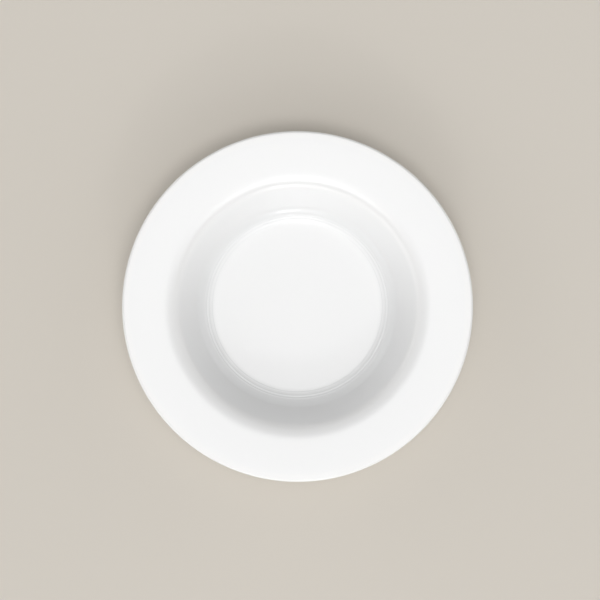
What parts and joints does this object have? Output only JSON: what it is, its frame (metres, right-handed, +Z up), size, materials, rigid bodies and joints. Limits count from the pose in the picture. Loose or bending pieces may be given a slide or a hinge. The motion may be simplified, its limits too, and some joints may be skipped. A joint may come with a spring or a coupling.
{
  "type": "plate",
  "caption": "Round white glazed china plate with a deep well, a wide nearly flat rim with a rolled edge, and a bare foot ring underneath.",
  "frame": {"origin": "centre of the plate, on the surface that the foot ring stands on", "axes": "+Z up along the axis of turning; the plate is round, so +X and +Y are any two level directions at right angles"},
  "size_m": [0.25, 0.25, 0.0354],
  "materials": {
    "bare_porcelain": "unglazed, fine and matt, slightly warm white",
    "white_glaze": "clear gloss over white clay"
  },
  "bodies": {
    "root": {"porcelain_body": "bare_porcelain", "outer_glaze": "white_glaze", "base_glaze": "white_glaze"}
  },
  "joints": []
}
